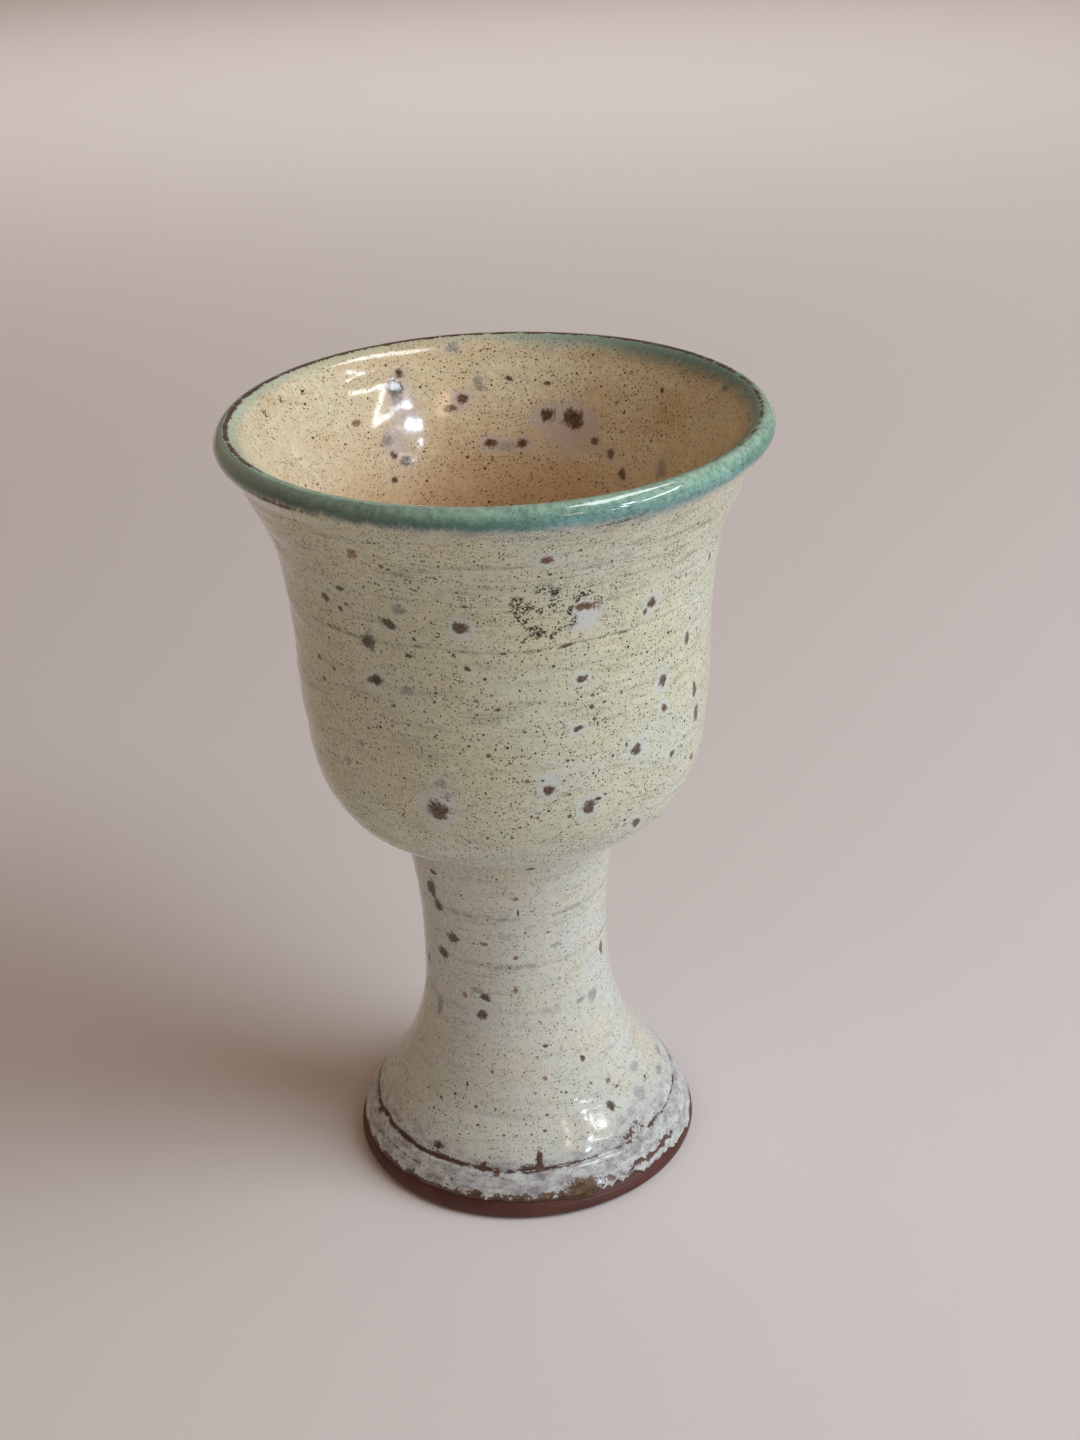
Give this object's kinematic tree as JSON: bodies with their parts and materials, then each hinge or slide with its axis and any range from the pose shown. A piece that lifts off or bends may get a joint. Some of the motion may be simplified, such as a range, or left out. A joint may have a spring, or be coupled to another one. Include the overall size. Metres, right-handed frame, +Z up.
{
  "type": "pottery goblet",
  "caption": "Hand-thrown stoneware goblet: flared round-bottomed bowl on a hollow waisted stem with a spreading foot, speckled glaze, green rim and a bare clay foot edge.",
  "frame": {"origin": "centre of the foot ring at table height", "axes": "+Z up along the axis that every piece was turned on; -Y faces the picture's viewer, +X to the viewer's right"},
  "size_m": [0.107, 0.107, 0.165],
  "materials": {
    "bowl_clay": "matte",
    "pedestal_clay": "matte",
    "slip": "matte",
    "oatmeal_glaze": "satin gloss",
    "honey_glaze": "gloss",
    "copper_green_glaze": "gloss",
    "pale_glaze": "satin gloss"
  },
  "bodies": {
    "root": {"bowl": "bowl_clay", "pedestal": "pedestal_clay", "joining_slip": "slip", "bowl_outer_glaze": "oatmeal_glaze", "bowl_liner_glaze": "honey_glaze", "rim_glaze": "copper_green_glaze", "pedestal_glaze": "pale_glaze"}
  },
  "joints": []
}
